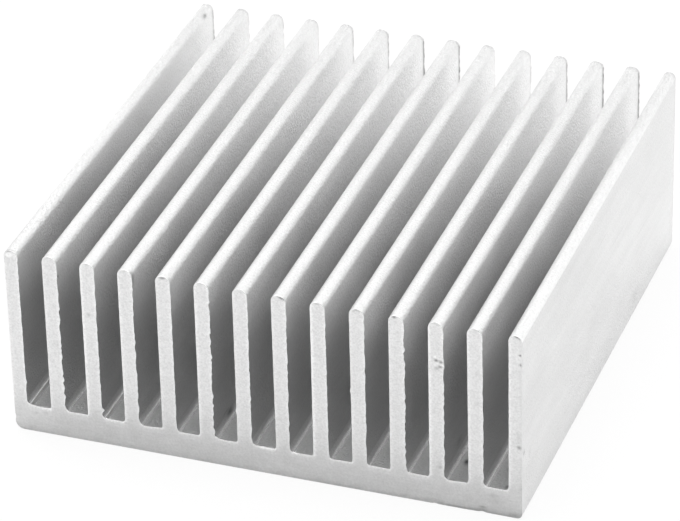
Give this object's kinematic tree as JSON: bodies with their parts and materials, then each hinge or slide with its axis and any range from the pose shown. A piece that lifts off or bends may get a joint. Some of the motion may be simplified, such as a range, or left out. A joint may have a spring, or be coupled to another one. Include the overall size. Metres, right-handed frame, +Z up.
{
  "type": "heat sink",
  "caption": "Extruded aluminium heat sink, nearly square in plan: a flat base plate with a row of straight upright fins and narrow channels between them.",
  "frame": {"origin": "middle of the flat underside", "axes": "+X across the fins, +Y along the fins, +Z up from the underside to the fin tips"},
  "size_m": [0.06, 0.061, 0.0237],
  "materials": {
    "bare_aluminium": "mill finish with fine lines along the extrusion, and sawn end faces"
  },
  "bodies": {
    "root": {"heat_sink": "bare_aluminium"}
  },
  "joints": []
}
